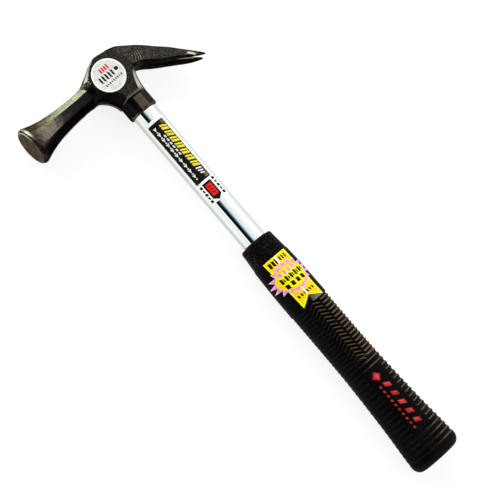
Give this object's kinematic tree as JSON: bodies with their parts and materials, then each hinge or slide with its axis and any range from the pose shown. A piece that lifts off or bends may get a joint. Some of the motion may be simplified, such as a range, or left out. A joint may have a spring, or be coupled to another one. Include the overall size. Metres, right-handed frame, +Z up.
{
  "type": "claw hammer",
  "caption": "Claw hammer lying on its side: dark forged head with a round-faced poll and a split curved claw, chromed steel tube handle and a ribbed black rubber grip.",
  "frame": {"origin": "on the flat lower cheek of the head, which lies on the ground, where the poll's axis crosses the handle's axis in plan", "axes": "+X along the handle from the head to the grip's end, +Y from the poll to the claw, +Z up out of the upper cheek"},
  "size_m": [0.3352, 0.1313, 0.0271],
  "materials": {
    "forged_steel": "black oxide on forged steel, half bright at the edges",
    "tube_chrome": "bright chrome plate",
    "plug_steel": "plain steel",
    "grip_rubber": "black moulded rubber, ribbed and pebbled",
    "cheek_label_paper": "white round sticker with plain coloured marks",
    "tube_label_film": "printed film: black panel, white end with a red block",
    "grip_label_film": "printed yellow film with plain pink and orange marks"
  },
  "bodies": {
    "root": {"head": "forged_steel", "handle_tube": "tube_chrome", "eye_plug": "plug_steel", "grip": "grip_rubber", "cheek_label": "cheek_label_paper", "tube_label": "tube_label_film", "grip_label": "grip_label_film"}
  },
  "joints": []
}
